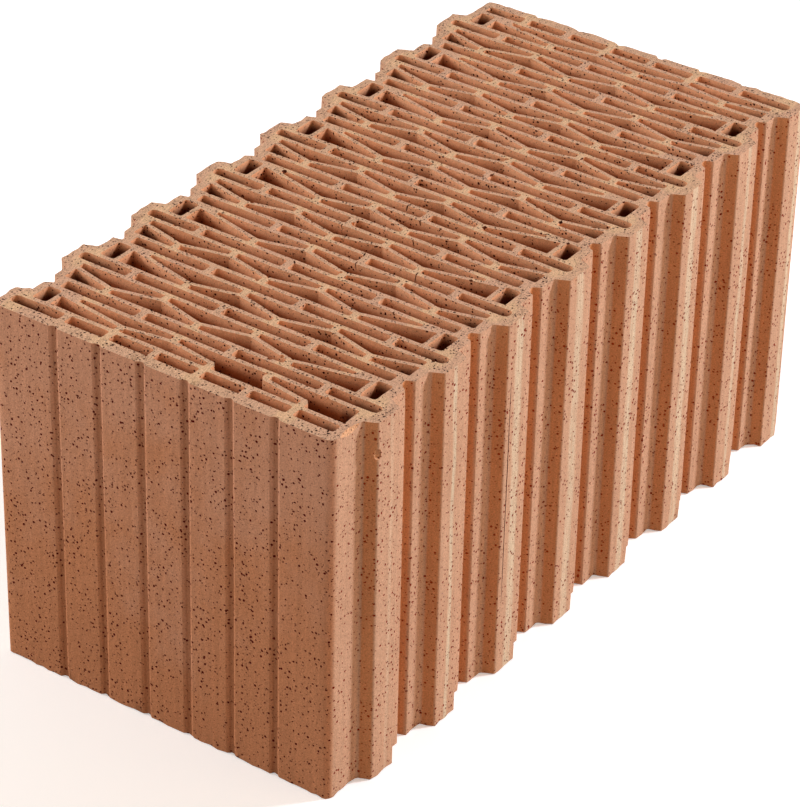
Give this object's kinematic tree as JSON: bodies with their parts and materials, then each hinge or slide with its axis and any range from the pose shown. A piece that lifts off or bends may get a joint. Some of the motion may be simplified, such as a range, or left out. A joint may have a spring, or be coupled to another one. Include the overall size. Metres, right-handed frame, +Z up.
{
  "type": "perforated clay block",
  "caption": "Large ground clay building block with upright slots and zigzag webs right through, tongued and notched sides and grooved end faces, for dry-jointed insulating walls.",
  "frame": {"origin": "middle of the bottom bed face, at the floor", "axes": "+X along the block's length, which is the wall's thickness when laid; +Y across it, towards the neighbouring block; +Z up along the slots"},
  "size_m": [0.5, 0.2534, 0.249],
  "materials": {
    "fired_clay": "matte fired clay with fine dark pores, ground flat on the two bed faces"
  },
  "bodies": {
    "root": {"clay_block": "fired_clay"}
  },
  "joints": []
}
